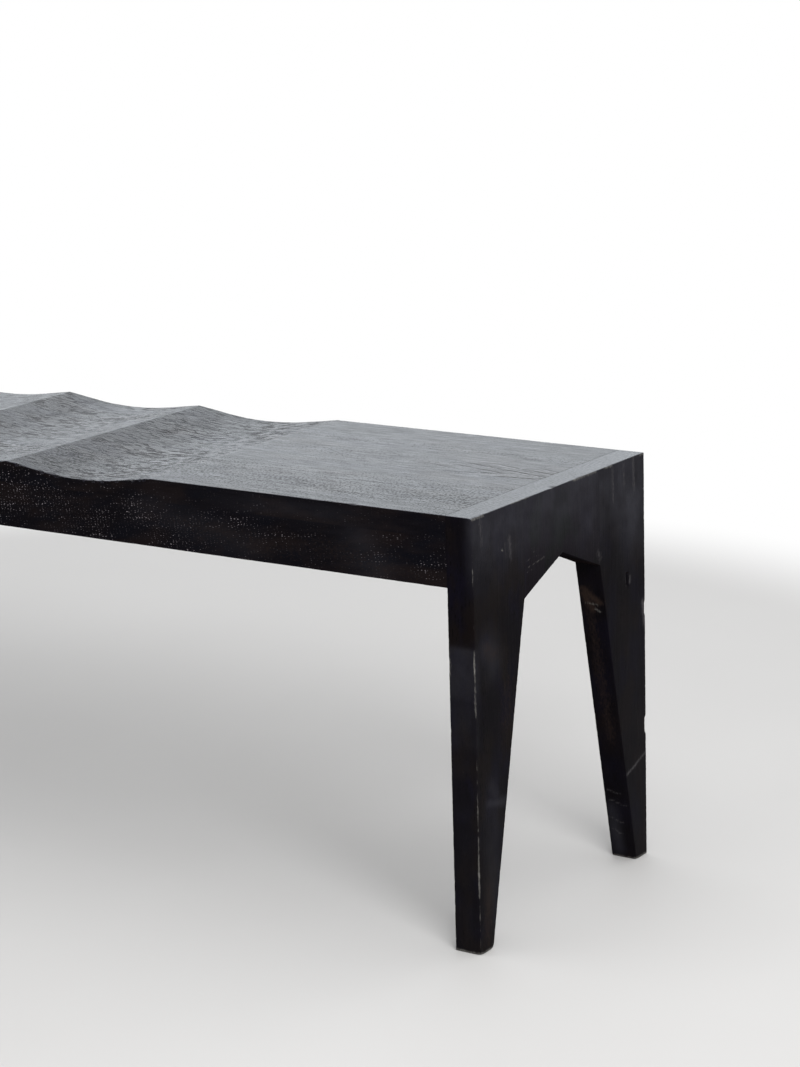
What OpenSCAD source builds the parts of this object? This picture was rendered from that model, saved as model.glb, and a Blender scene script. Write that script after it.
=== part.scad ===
// Bench with a scooped seat: black-stained oak, two tapered end frames
// under a glued-up seat with a deep front and back edge.
// Millimetres. The origin is on the floor, under the middle of the bench;
// +X runs along the length and the front edge faces -Y.

/* [Overall] */
// Length over the outer faces of the two end frames
bench_length = 1600; // [1400:10:2000]
// Depth from the front edge to the back edge
bench_depth = 347; // [320:1:400]
// Height of the seat's flat ends above the floor
seat_height = 455; // [400:1:500]

/* [End frames] */
// Thickness of the leg and bridge boards
frame_thickness = 30.5; // [28:0.5:40]
// Width of a leg at its shoulder, where the bridge begins
leg_width = 97; // [80:1:115]
// Width of a leg at the floor
foot_width = 24.5; // [18:0.5:60]
// Depth of the bridge where it meets a leg
shoulder_depth = 103.5; // [92:0.5:130]
// Depth of the bridge in the middle, at the point of the inverted V
peak_depth = 72; // [60:1:88]

/* [Seat] */
// Thickness of the seat boards
board_thickness = 23.5; // [22:0.5:30]
// Height of the aprons below the seat boards
apron_height = 50; // [40:1:70]
// Thickness of the aprons
apron_thickness = 28; // [24:0.5:40]

/* [Scoops] */
// Number of scoops side by side
scoop_count = 4; // [2, 4, 6]
// Distance from one ridge to the next
scoop_pitch = 200; // [160:1:220]
// Depth of a scoop in its middle
scoop_depth = 10; // [6:0.5:12]
// Length of the straight slope on each side of a scoop
slope_run = 43; // [20:1:50]
// Radius over a ridge
ridge_radius = 32; // [15:1:60]

/* [Cross rails] */
// Width of a cross rail along the bench
rail_width = 44; // [36:1:60]
// Height of a cross rail
rail_height = 24; // [20:1:28]
// Gap between a cross rail and each apron, left for the seat to shrink
rail_end_gap = 2; // [1:0.5:4]
// Distance of the outer rail screws from the rail's end
rail_screw_inset = 26; // [20:1:40]

/* [Corner blocks] */
// Side of a corner block, seen from above
block_width = 28; // [26:1:34]
// Height of a corner block
block_height = 44; // [42:1:48]
// Cut across a corner block's free edge
block_chamfer = 7; // [2:1:8]
// Distance of a block screw from the apron or the end frame beside it
block_screw_inset = 12; // [11:0.5:13]

/* [Dowels] */
// Diameter of every dowel
dowel_diameter = 10; // [8:0.5:12]
// Length of every dowel
dowel_length = 50; // [44:1:52]
// How far a seat or apron dowel reaches into the end frame
dowel_frame_reach = 20; // [15:1:22]
// Chamfer on a dowel's ends
dowel_chamfer = 1; // [0.5:0.1:2]
// Height of the lowest bridge dowel above the shoulder
bridge_dowel_start = 20; // [15:1:26]
// Spacing of the bridge dowels
bridge_dowel_spacing = 27; // [20:1:30]
// Distance of an apron dowel from the apron's top or bottom edge
apron_dowel_inset = 12; // [9:0.5:13]

/* [Screws] */
// Diameter of a wood screw's shank
screw_diameter = 4.5; // [3.5:0.5:5]
// Diameter of a screw's head
screw_head_diameter = 9; // [8:0.5:10]
// Depth of a screw's countersunk head
screw_head_depth = 3; // [2.5:0.5:4]
// Length of a rail screw
rail_screw_length = 35; // [30:1:38]
// Length of a block screw
block_screw_length = 45; // [40:1:46]

/* [Hidden] */

// Colours of the stained wood, the dowels and the screws
stain = "#211e1f";
stain_inside = "#2a2423";
dowel_wood = "#c9a878";
steel = "#a9a59c";

// Clearances: around a dowel or a screw's thread, past a dowel's end, and around
// a screw where it passes freely through a rail or a block
bore_clearance = 0.05;
dowel_end_gap = 1.5;
screw_passage = 0.3;
// Length that lets an outer rail screw slide as the seat swells and shrinks
screw_slot = 8;
// How far a cutting shape runs past the face that it cuts
past = 1;

board_count = 4;
board_width = bench_depth / board_count;
inside_length = bench_length - 2 * frame_thickness;
board_underside = seat_height - board_thickness;
apron_underside = board_underside - apron_height;
shoulder_height = seat_height - shoulder_depth;
peak_height = seat_height - peak_depth;
bridge_half_width = bench_depth / 2 - leg_width;
apron_inner_face = bench_depth / 2 - apron_thickness;

// A scoop's section: an arc in the trough, a straight slope tangent to it on
// each side, and a small arc over each ridge, also tangent to the slope
half_pitch = scoop_pitch / 2;
arc_run = half_pitch - slope_run;
function half_slope(t, turns) = turns == 0 ? t
    : half_slope(scoop_depth * (1 - t * t) / (arc_run * (1 - t * t) + 2 * slope_run), turns - 1);
slope_angle = 2 * atan(half_slope(0, 8));
trough_radius = arc_run / sin(slope_angle) - ridge_radius;
trough_edge_x = trough_radius * sin(slope_angle);
trough_edge_z = trough_radius * (1 - cos(slope_angle)) - scoop_depth;
ridge_edge_x = half_pitch - ridge_radius * sin(slope_angle);
ridge_edge_z = -ridge_radius * (1 - cos(slope_angle));
scoop_centres = [for (i = [0:scoop_count - 1]) (i - (scoop_count - 1) / 2) * scoop_pitch];

// The cross rails lie under ridges, where the boards have their full thickness
rail_spacing = scoop_count / 2 * scoop_pitch;
rail_half_length = apron_inner_face - rail_end_gap;
rail_screw_ys = [board_width / 2, rail_half_length - rail_screw_inset];

seat_dowel_z = seat_height - board_thickness / 2;
seat_dowel_ys = [for (i = [0:board_count - 1]) (i - (board_count - 1) / 2) * board_width];
apron_dowel_y = bench_depth / 2 - apron_thickness / 2;
apron_dowel_zs = [apron_underside + apron_dowel_inset, board_underside - apron_dowel_inset];
bridge_dowel_zs = [for (i = [0:2]) shoulder_height + bridge_dowel_start + i * bridge_dowel_spacing];
// The apron screw passes between the apron's dowels, and the frame screw above them
apron_screw_z = apron_underside + apron_height / 2;
frame_screw_z = board_underside - apron_dowel_inset;

// Places a part made for the right end at the left end
module at_left() { mirror([1, 0, 0]) children(); }
// Places a part made for the front at the back
module at_back() { mirror([0, 1, 0]) children(); }

// A shape along +X from the origin
module along_x() { rotate([0, 90, 0]) children(); }

module dowel_bore(depth) {
    translate([0, 0, -past])
        cylinder(h = depth + dowel_end_gap + past, d = dowel_diameter + 2 * bore_clearance, $fn = 32);
}

// A dowel centred on the origin along Z
module dowel() {
    half = dowel_length / 2;
    radius = dowel_diameter / 2;
    rotate_extrude($fn = 32)
        polygon([
            [0, -half], [radius - dowel_chamfer, -half], [radius, dowel_chamfer - half],
            [radius, half - dowel_chamfer], [radius - dowel_chamfer, half], [0, half],
        ]);
}

// A countersunk wood screw along +Z, its head flush with the origin
module screw(length) {
    radius = screw_diameter / 2;
    point = 2 * screw_diameter;
    recess = screw_head_diameter / 2;
    difference() {
        rotate_extrude($fn = 32)
            polygon([
                [0, 0], [screw_head_diameter / 2, 0], [radius, screw_head_depth],
                [radius, length - point], [radius / 4, length], [0, length],
            ]);
        for (turn = [0, 90])
            rotate([0, 0, turn])
                cube([recess, screw_head_diameter / 9, screw_head_depth], center = true);
    }
}

// The countersunk hole for a screw, from the face down through depth
module screw_hole(depth) {
    radius = screw_diameter / 2 + screw_passage;
    head_radius = screw_head_diameter / 2 + bore_clearance;
    translate([0, 0, -past])
        cylinder(h = depth + 2 * past, r = radius, $fn = 32);
    cylinder(h = screw_head_depth, r1 = head_radius, r2 = screw_diameter / 2 + bore_clearance, $fn = 32);
}

// The hole that a screw's thread holds in
module pilot_hole(depth) {
    translate([0, 0, -past])
        cylinder(h = depth + past + bore_clearance, d = screw_diameter + 2 * bore_clearance, $fn = 32);
}

// The part of the seat that one scoop takes away, seen from the front, with
// the scoop's middle at x = 0 and the flat of the seat at y = 0
module scoop_outline() {
    difference() {
        union() {
            polygon([
                [-half_pitch, past], [-half_pitch, ridge_edge_z], [-ridge_edge_x, ridge_edge_z],
                [-trough_edge_x, trough_edge_z], [trough_edge_x, trough_edge_z],
                [ridge_edge_x, ridge_edge_z], [half_pitch, ridge_edge_z], [half_pitch, past],
            ]);
            translate([0, trough_radius - scoop_depth])
                circle(r = trough_radius, $fn = 360);
        }
        for (side = [-1, 1])
            translate([side * half_pitch, -ridge_radius])
                circle(r = ridge_radius, $fn = 180);
    }
}

// A seat board, counted from the front, with its scoops, dowel bores and pilot holes
module seat_board(index) {
    front = (index - board_count / 2) * board_width;
    color(stain)
    difference() {
        translate([-inside_length / 2, front, board_underside])
            cube([inside_length, board_width, board_thickness]);
        for (x = scoop_centres)
            translate([x, front - past, seat_height])
                rotate([90, 0, 0])
                    mirror([0, 0, 1])
                        linear_extrude(height = board_width + 2 * past)
                            scoop_outline();
        for (end = [0, 1])
            mirror([end, 0, 0])
                translate([inside_length / 2, seat_dowel_ys[index], seat_dowel_z])
                    mirror([1, 0, 0])
                        along_x() dowel_bore(dowel_length - dowel_frame_reach);
        for (rail = [-1:1], side = [-1, 1], y = rail_screw_ys)
            if (floor((side * y + bench_depth / 2) / board_width) == index)
                translate([rail * rail_spacing, side * y, board_underside])
                    pilot_hole(rail_screw_length - rail_height);
    }
}

// The front apron, glued under the front seat board
module apron() {
    color(stain)
    difference() {
        translate([-inside_length / 2, -bench_depth / 2, apron_underside])
            cube([inside_length, apron_thickness, apron_height]);
        for (end = [0, 1])
            mirror([end, 0, 0]) {
                for (z = apron_dowel_zs)
                    translate([inside_length / 2, -apron_dowel_y, z])
                        mirror([1, 0, 0])
                            along_x() dowel_bore(dowel_length - dowel_frame_reach);
                translate([inside_length / 2 - block_screw_inset, -apron_inner_face, apron_screw_z])
                    rotate([90, 0, 0]) pilot_hole(block_screw_length - block_width);
            }
    }
}

// A cross rail with a round hole for each inner screw and a slot for each outer one
module cross_rail(place) {
    color(stain_inside)
    translate([place * rail_spacing, 0, 0])
    difference() {
        translate([-rail_width / 2, -rail_half_length, board_underside - rail_height])
            cube([rail_width, 2 * rail_half_length, rail_height]);
        for (side = [-1, 1]) {
            translate([0, side * rail_screw_ys[0], board_underside - rail_height])
                screw_hole(rail_height);
            translate([0, side * rail_screw_ys[1], board_underside - rail_height])
                screw_hole(rail_height);
            for (shift = [-1, 1])
                translate([0, side * rail_screw_ys[1] + shift * screw_slot / 2,
                           board_underside - rail_height + screw_head_depth])
                    cylinder(h = rail_height, r = screw_diameter / 2 + screw_passage, $fn = 32);
            translate([-screw_diameter / 2 - screw_passage, side * rail_screw_ys[1] - screw_slot / 2,
                       board_underside - rail_height + screw_head_depth])
                cube([screw_diameter + 2 * screw_passage, screw_slot, rail_height]);
        }
    }
}

// The front leg of the right end frame: straight outside, tapered inside
module leg() {
    outer = -bench_depth / 2;
    color(stain)
    difference() {
        translate([inside_length / 2, 0, 0])
            rotate([90, 0, 90])
                linear_extrude(height = frame_thickness)
                    polygon([
                        [outer, 0], [outer + foot_width, 0], [outer + leg_width, shoulder_height],
                        [outer + leg_width, seat_height], [outer, seat_height],
                    ]);
        for (z = bridge_dowel_zs)
            translate([(bench_length - frame_thickness) / 2, -bridge_half_width, z])
                rotate([90, 0, 0]) dowel_bore(dowel_length / 2);
        for (y = seat_dowel_ys)
            if (y < -bridge_half_width)
                translate([inside_length / 2, y, seat_dowel_z])
                    along_x() dowel_bore(dowel_frame_reach);
        for (z = apron_dowel_zs)
            translate([inside_length / 2, -apron_dowel_y, z])
                along_x() dowel_bore(dowel_frame_reach);
        translate([inside_length / 2, block_screw_inset - apron_inner_face, frame_screw_z])
            along_x() pilot_hole(block_screw_length - block_width);
    }
}

// The bridge of the right end frame, cut to an inverted V below
module bridge() {
    color(stain)
    difference() {
        translate([inside_length / 2, 0, 0])
            rotate([90, 0, 90])
                linear_extrude(height = frame_thickness)
                    polygon([
                        [-bridge_half_width, shoulder_height], [0, peak_height],
                        [bridge_half_width, shoulder_height], [bridge_half_width, seat_height],
                        [-bridge_half_width, seat_height],
                    ]);
        for (side = [0, 1], z = bridge_dowel_zs)
            mirror([0, side, 0])
                translate([(bench_length - frame_thickness) / 2, -bridge_half_width, z])
                    rotate([-90, 0, 0]) dowel_bore(dowel_length / 2);
        for (y = seat_dowel_ys)
            if (abs(y) < bridge_half_width)
                translate([inside_length / 2, y, seat_dowel_z])
                    along_x() dowel_bore(dowel_frame_reach);
    }
}

// The dowels across the two glue lines of the right end frame
module bridge_dowels() {
    color(dowel_wood)
    for (side = [-1, 1], z = bridge_dowel_zs)
        translate([(bench_length - frame_thickness) / 2, side * bridge_half_width, z])
            rotate([90, 0, 0]) dowel();
}

// The dowels between the right end frame and the seat boards
module seat_dowels() {
    color(dowel_wood)
    for (y = seat_dowel_ys)
        translate([inside_length / 2 + dowel_frame_reach - dowel_length / 2, y, seat_dowel_z])
            along_x() dowel();
}

// The dowels between the right end frame and both aprons
module apron_dowels() {
    color(dowel_wood)
    for (side = [-1, 1], z = apron_dowel_zs)
        translate([inside_length / 2 + dowel_frame_reach - dowel_length / 2, side * apron_dowel_y, z])
            along_x() dowel();
}

// The corner block between the right end frame and the front apron
module corner_block() {
    color(stain_inside)
    translate([inside_length / 2, -apron_inner_face, 0])
    difference() {
        translate([0, 0, board_underside - block_height])
            linear_extrude(height = block_height)
                polygon([
                    [0, 0], [0, block_width], [block_chamfer - block_width, block_width],
                    [-block_width, block_width - block_chamfer], [-block_width, 0],
                ]);
        translate([-block_screw_inset, block_width, apron_screw_z])
            rotate([90, 0, 0]) screw_hole(block_width);
        translate([-block_width, block_screw_inset, frame_screw_z])
            along_x() screw_hole(block_width);
    }
}

// The twelve screws that hold the cross rails to the seat boards
module rail_screws() {
    color(steel)
    for (rail = [-1:1], side = [-1, 1], y = rail_screw_ys)
        translate([rail * rail_spacing, side * y, board_underside - rail_height])
            screw(rail_screw_length);
}

// The eight screws that hold the corner blocks to the aprons and the end frames
module block_screws() {
    color(steel)
    for (end = [0, 1], side = [0, 1])
        mirror([end, 0, 0]) mirror([0, side, 0])
            translate([inside_length / 2, -apron_inner_face, 0]) {
                translate([-block_screw_inset, block_width, apron_screw_z])
                    rotate([90, 0, 0]) screw(block_screw_length);
                translate([-block_width, block_screw_inset, frame_screw_z])
                    along_x() screw(block_screw_length);
            }
}

seat_board(0);  // seat_board_front
seat_board(1);  // seat_board_mid_front
seat_board(2);  // seat_board_mid_back
seat_board(3);  // seat_board_back
apron();  // apron_front
at_back() apron();  // apron_back
cross_rail(-1);  // cross_rail_left
cross_rail(0);  // cross_rail_centre
cross_rail(1);  // cross_rail_right
leg();  // leg_front_right
at_back() leg();  // leg_back_right
bridge();  // bridge_right
at_left() leg();  // leg_front_left
at_left() at_back() leg();  // leg_back_left
at_left() bridge();  // bridge_left
bridge_dowels();  // bridge_dowels_right
at_left() bridge_dowels();  // bridge_dowels_left
seat_dowels();  // seat_dowels_right
at_left() seat_dowels();  // seat_dowels_left
apron_dowels();  // apron_dowels_right
at_left() apron_dowels();  // apron_dowels_left
corner_block();  // corner_block_front_right
at_back() corner_block();  // corner_block_back_right
at_left() corner_block();  // corner_block_front_left
at_left() at_back() corner_block();  // corner_block_back_left
rail_screws();
block_screws();
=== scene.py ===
"""The looks of a black-stained oak bench with a scooped seat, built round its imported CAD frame."""

import math

import bmesh
import bpy
import numpy
from mathutils import Matrix, Vector, noise


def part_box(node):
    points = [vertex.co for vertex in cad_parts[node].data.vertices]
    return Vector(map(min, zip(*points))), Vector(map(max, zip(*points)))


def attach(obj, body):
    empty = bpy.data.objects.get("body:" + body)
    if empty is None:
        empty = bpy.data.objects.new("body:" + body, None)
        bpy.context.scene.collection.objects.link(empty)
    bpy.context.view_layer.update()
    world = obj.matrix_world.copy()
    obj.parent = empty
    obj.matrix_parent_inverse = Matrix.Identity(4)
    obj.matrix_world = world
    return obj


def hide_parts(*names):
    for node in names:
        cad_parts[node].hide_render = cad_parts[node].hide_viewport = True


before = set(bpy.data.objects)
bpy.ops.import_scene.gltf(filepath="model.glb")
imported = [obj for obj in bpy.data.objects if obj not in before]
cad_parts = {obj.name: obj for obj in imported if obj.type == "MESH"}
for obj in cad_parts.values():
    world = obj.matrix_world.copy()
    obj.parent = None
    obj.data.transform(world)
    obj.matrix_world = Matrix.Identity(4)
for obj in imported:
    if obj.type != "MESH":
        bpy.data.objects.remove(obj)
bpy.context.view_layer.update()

MM = 0.001

# The waves of the hand work come out the same in every run
noise.seed_set(11)

# Sizes of the bench, read from the frame
LEG_LOW, LEG_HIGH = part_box("leg_front_right")
APRON_LOW, APRON_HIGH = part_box("apron_front")
LENGTH_HALF = LEG_HIGH.x
DEPTH_HALF = -LEG_LOW.y
SEAT_TOP = LEG_HIGH.z
FRAME_INSIDE = LEG_LOW.x
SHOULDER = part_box("bridge_right")[0].z

# Sizes that no node's box gives
FOOT_WIDTH = 24.5 * MM
PEAK = 383.0 * MM
SCOOP_COUNT = 4
SCOOP_PITCH = 200 * MM
SCOOP_DEPTH = 10 * MM
SLOPE_RUN = 43 * MM

# Ridges are crisper than in the CAD, by less than 0.2 mm of height, as in the photo
RIDGE_RADIUS = 14 * MM

# Edges: sanded where they are free, sharp where two boards are glued flush
ARRIS = 0.9 * MM
ARRIS_STEPS = 3
ARRIS_WAVE_LENGTH = 22 * MM
GLUED_EDGE = 0.04 * MM
GLUE_GAP = 0.22 * MM
GLUE_GAP_LENGTH = 90 * MM

# Small knocks along the free edges, many times deeper where the scoops run out through the front
NICK = 0.25 * MM
NICK_LENGTH = 3.2 * MM
NICK_START = 0.05
SCOOP_NICK_SHARE = 18.0

# How far hand work strays from true: on every face, in the scoops, where it grows to its full
# size at a depth and lies mostly below the true curve, and along their ridges
FACE_WAVE = 0.12 * MM
FACE_WAVE_LENGTH = 90 * MM
SCOOP_WAVE = 0.22 * MM
SCOOP_WAVE_LENGTH = (70 * MM, 26 * MM)
SCOOP_WAVE_FULL = 2 * MM
SCOOP_WAVE_SUNK = 0.25
RIDGE_WANDER = 0.5 * MM
RIDGE_WANDER_LENGTH = (200 * MM, 60 * MM)

# Layers of the noise that the scoops and their ridges take their waves from
SCOOP_LAYER = 3.7
RIDGE_LAYER = 9.1

# How much the edges are rubbed bare, pale wood that also paints the highlight of their rounding:
# strength, and the length and share of two waves of it
EDGE_WEAR_AND_HIGHLIGHT = 0.7
EDGE_RUB_AND_HIGHLIGHT = 0.05
EDGE_RUB_AND_HIGHLIGHT_WAVES = ((35 * MM, 0.5), (6 * MM, 0.3))
STRONGEST_MARK = 1.5

# Steps between the points of the meshes along and across a board, finer where the photo looks
SEAT_STEPS = (4 * MM, 4.5 * MM)
FRONT_SEAT_STEP = 2.5 * MM
APRON_STEPS = (8 * MM, 5 * MM)
FRAME_STEP = 4.5 * MM
NEAR_FRAME_STEPS = {"leg_front_right": 2.0 * MM, "leg_back_right": 2.0 * MM,
                    "bridge_right": 1.3 * MM}

# The first two lines of points beside an edge: the nearer one clears every arris and nick
BESIDE_EDGE = 2.4 * MM
PAST_EDGE = 5.0 * MM

# Lines of points on both sides of a ridge or corner, in place of the even ones within its reach
BESIDE_RIDGE = [offset * MM for offset in (-4.5, -3, -1.5, -0.5, 0.5, 1.5, 3, 4.5)]
RIDGE_REACH = 5 * MM

# Least room that two lines of points keep, and the insets that close a free end
SPREAD_ROOM = 0.2 * MM
END_ROOM = 0.4 * MM
CLOSING_INSETS = (4 * MM, 1.2 * MM)

# How far a face looks up or down to get the finish of the top or of the underside
LOOKS_UP = 0.6
LOOKS_DOWN = -0.35
SHARP_ANGLE = math.radians(35)

# Where stain has worn off to pale wood, and painted highlights where rounded edges catch the light,
# as down the near corner of the leg: two ends of each mark and its reach in mm, and strength
WORN_AND_HIGHLIGHT_MARKS = [
    # The pale line down the near corner: wear, and the painted highlight of the rounded edge
    ((800, -173.5, 320), (800, -173.5, 290), (1.4, 1.6, 3), 0.66),
    ((800, -173.5, 282), (800, -173.5, 260), (2.2, 2.4, 5), 0.6),
    ((800, -173.5, 250), (800, -173.5, 190), (0.8, 0.9, 3), 0.38),
    ((800, -173.5, 187), (800, -173.5, 132), (1.0, 1.1, 3), 0.45),
    ((800, -173.5, 124), (800, -173.5, 100), (1.3, 1.5, 6), 0.73),
    ((800, -173.5, 98), (800, -173.5, 66), (1.5, 1.7, 8), 0.78),
    ((800, -173.5, 62), (800, -173.5, 6), (0.8, 0.9, 4), 0.54),
    ((800, -173.5, 440), (800, -173.5, 330), (0.6, 0.6, 4), 0.4),
    ((771, -173.5, 314), (771, -173.5, 292), (1.4, 1.2, 4), 0.55),
    ((770, -173.5, 372), (770, -173.5, 268), (0.8, 1.0, 4), 0.46),
    ((800, -136, 66), (800, -137, 49), (1.5, 1.2, 3), 0.46),
    ((800, 173.5, 289), (800, 173.5, 273), (2, 3, 3), 0.51),
    ((800, 173.5, 157), (800, 173.5, 141), (2.4, 2.4, 3), 0.86),
    ((800, 141, 109), (800, 158, 112), (2, 1, 1), 0.46),
    ((800, 165, 115), (800, 172, 119), (2, 1, 1), 0.41),
    # Pale spots on the top edge of the end frame: wear, and a painted highlight at the front corner
    ((800, -172, 454), (800, -152, 454), (2, 3, 2.2), 0.65),
    ((800, -98, 455), (800, -64, 455), (1.4, 3, 1.2), 0.55),
    ((800, 25, 454), (800, 70, 454), (1.6, 3, 2.0), 0.6),
    ((800, 88, 454), (800, 104, 454), (1.6, 3, 1.6), 0.6),
    ((800, 165, 454), (800, 172, 454), (1.6, 3, 2.0), 0.64),
    ((800, -68, 382.5), (800, -38, 386), (1, 2, 0.9), 0.57),
    ((800, -76, 389), (800, -60, 391), (1, 2, 0.8), 0.5),
    ((800, -66, 401), (800, -52, 400), (1, 2, 0.8), 0.42),
    ((800, -58, 391.5), (800, -44, 390), (1, 2, 0.8), 0.44),
    ((800, -70, 378), (800, -62, 379), (1, 2, 0.9), 0.46),
    ((800, -61, 397), (800, -50, 395.5), (1, 2, 0.9), 0.46),
    ((800, -54, 385), (800, -36, 387), (1, 2, 0.9), 0.46),
    ((800, -118.3, 411.7), (800, -118.3, 411.7), (2, 1.2, 1.4), 1.5),
    ((788, 87, 300), (793, 87.5, 297), (3, 3, 2.2), 0.65),
    ((779, 86, 301), (781, 86, 299), (2, 2, 2), 0.46),
    ((777, 85, 306), (790, 86, 305), (3, 3, 2.6), 0.5),
    ((800, -173.5, 1), (772, -173.5, 1), (2, 2, 2.2), 0.72),
    ((800, -172, 1), (800, -150, 1), (2, 2, 2.2), 0.75),
    ((800, 172, 1), (800, 150, 1), (2, 2, 2.2), 0.75),
    ((800, 149, 1), (772, 149, 1), (2, 2, 2.2), 0.62),
]

# Grey rub marks, given the same way
SCUFFS = [
    ((800, -104, 420), (800, -102, 402), (4, 3, 7), 0.42),
    ((800, -112, 416), (800, -111, 404), (4, 2, 5), 0.34),
    ((800, 140.5, 325), (800, 140.5, 320), (4, 2, 4), 0.55),
    ((800, 168, 290), (800, 172, 266), (4, 4, 5), 0.55),
    ((800, 131, 104), (800, 174, 119), (4, 2.2, 2.2), 0.5),
    ((800, 105, 450), (800, 106, 418), (4, 2.5, 8), 0.42),
    ((800, 149, 450), (800, 151, 424), (4, 3, 9), 0.45),
    ((800, 128, 448), (800, 130, 430), (4, 2.5, 8), 0.36),
    ((800, -158, 448), (800, -156, 430), (4, 3, 9), 0.36),
    ((800, 73, 366), (800, 76, 360), (4, 5, 6), 0.3),
    ((776, 132, 82), (788, 133, 79), (5, 4, 1.2), 0.36),
    ((777, 134, 70), (792, 135, 66), (5, 4, 1.2), 0.36),
    ((776, 138, 48), (786, 139, 44), (5, 4, 1.2), 0.36),
    ((777, 141, 34), (783, 142, 30), (5, 4, 1.2), 0.4),
]

# Where thin stain lets the brown of the wood through, given the same way
BROWN_MARKS = [
    ((776, 84, 322), (792, 86, 308), (7, 5, 4), 0.66),
    ((776, 84, 316), (784, 86, 300), (6, 5, 6), 0.6),
    ((780, 88, 296), (787, 118, 150), (9, 6, 14), 0.27),
    ((262, -173.5, 424), (330, -173.5, 396), (30, 6, 16), 0.12),
    ((440, -173.5, 412), (575, -173.5, 396), (36, 6, 16), 0.15),
    ((612, -173.5, 408), (690, -173.5, 392), (34, 6, 18), 0.17),
    ((712, -173.5, 394), (755, -173.5, 388), (18, 6, 10), 0.15),
    ((800, -112, 262), (800, -116, 232), (4, 16, 26), 0.2),
    ((800, -150, 318), (800, -140, 308), (4, 14, 9), 0.3),
    ((800, -155, 60), (800, -160, 20), (4, 10, 20), 0.3),
]

# Where old oil has dried to a soft grey bloom, and where grey is painted in as reflected light, as on
# the lower front face of the near leg, given the same way
BLOOM_AND_REFLECTION_MARKS = [
    ((800, -150, 450), (800, 160, 450), (7, 50, 52), 0.52),
    ((800, 120, 430), (800, 150, 400), (7, 34, 46), 0.62),
    ((800, 20, 430), (800, 60, 415), (7, 40, 40), 0.43),
    ((800, -150, 318), (800, -140, 300), (7, 18, 18), 0.28),
    # Painted reflected light: the front face of the near leg made greyer below about 320 mm
    ((785, -173.5, 319), (785, -173.5, 290), (36, 10, 4), 0.34),
    ((785, -173.5, 284), (785, -173.5, 284), (36, 8, 22), 0.34),
    ((785, -173.5, 260), (785, -173.5, 230), (36, 6, 20), 0.16),
    ((800, -150, 156), (800, -126, 150), (30, 9, 6), 0.42),
    ((800, -146, 172), (800, -140, 160), (30, 9, 9), 0.3),
    ((777, 136, 55), (779, 146, 14), (8, 6, 12), 0.34),
    ((800, -145, 130), (800, -145, 60), (7, 20, 50), 0.18),
    ((800, 160, 250), (800, 160, 40), (7, 40, 60), 0.04),
    # Painted reflected light, fainter, lower on the same face
    ((786, -173.5, 200), (786, -173.5, 30), (30, 6, 50), 0.07),
    ((404, -173.5, 422), (520, -173.5, 396), (32, 8, 18), 0.13),
    ((664, -173.5, 420), (682, -173.5, 392), (26, 8, 20), 0.16),
    ((540, -173.5, 442), (620, -173.5, 442), (60, 8, 10), 0.14),
]

# Where the pores of the front hold pale specks, of dust and of painted glints off their flanks, given
# the same way
DUST_AND_GLINT_MARKS = [
    ((-700, -173.5, 415), (-150, -173.5, 400), (90, 6, 22), 0.4),
    ((-60, -173.5, 405), (200, -173.5, 410), (60, 6, 26), 0.4),
    ((215, -173.5, 432), (330, -173.5, 400), (30, 6, 24), 0.56),
    ((290, -173.5, 452), (340, -173.5, 440), (16, 6, 8), 0.34),
    ((380, -173.5, 418), (450, -173.5, 396), (28, 6, 20), 0.66),
    ((480, -173.5, 425), (560, -173.5, 415), (30, 6, 10), 0.46),
    ((590, -173.5, 404), (700, -173.5, 398), (30, 6, 12), 0.16),
    ((740, -173.5, 400), (765, -173.5, 396), (10, 6, 12), 0.4),
]

# Chips and dents: two ends, reach and depth in mm
CHIPS = [
    ((657, -173.5, 455), (661, -173.5, 455), (2.4, 2.4, 2.4), 1.1),
    ((800, -171, 455), (800, -166, 455), (3, 2.4, 3), 0.9),
    ((800, -158, 455), (800, -155, 455), (3, 2.4, 2.4), 0.6),
    ((800, -18, 455), (800, -16, 455), (4, 3.0, 3.0), 1.1),
    ((800, 30, 455), (800, 36, 455), (2.4, 2.4, 2.4), 0.5),
    ((800, 96, 455), (800, 104, 455), (2.4, 2.4, 2.4), 0.5),
    ((800, 173.5, 157), (800, 173.5, 143), (4, 3.4, 2.4), 1.3),
    ((800, 173.5, 287), (800, 173.5, 278), (4, 2.6, 2.6), 0.8),
    ((800, 133.4, 329), (800, 135.4, 317), (3, 1.6, 1.6), 2.2),
    ((800, -173.5, 314), (800, -173.5, 296), (3, 3, 3), 0.7),
    ((800, -173.5, 110), (800, -173.5, 80), (3, 3, 4), 0.6),
    ((800, -173.5, 0), (800, -173.5, 0), (4, 4, 3), 1.1),
    ((800, -149, 0), (800, -149, 0), (3, 3, 2.5), 0.9),
    ((800, 149, 0), (800, 149, 0), (3, 3, 2.5), 0.9),
    ((770, -173.5, 306), (770, -173.5, 300), (3, 3, 3), 0.6),
]


# Scoops

def scoop_slope():
    """Angle of a scoop's straight slope, which is tangent to the arcs at its two ends."""
    arc_run = SCOOP_PITCH / 2 - SLOPE_RUN
    half_tangent = 0.0
    for _ in range(8):
        square = half_tangent ** 2
        half_tangent = SCOOP_DEPTH * (1 - square) / (arc_run * (1 - square) + 2 * SLOPE_RUN)
    return 2 * math.atan(half_tangent)


SLOPE = scoop_slope()
TROUGH_RADIUS = (SCOOP_PITCH / 2 - SLOPE_RUN) / math.sin(SLOPE) - RIDGE_RADIUS
SCOOPED_HALF = SCOOP_COUNT * SCOOP_PITCH / 2


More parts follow.
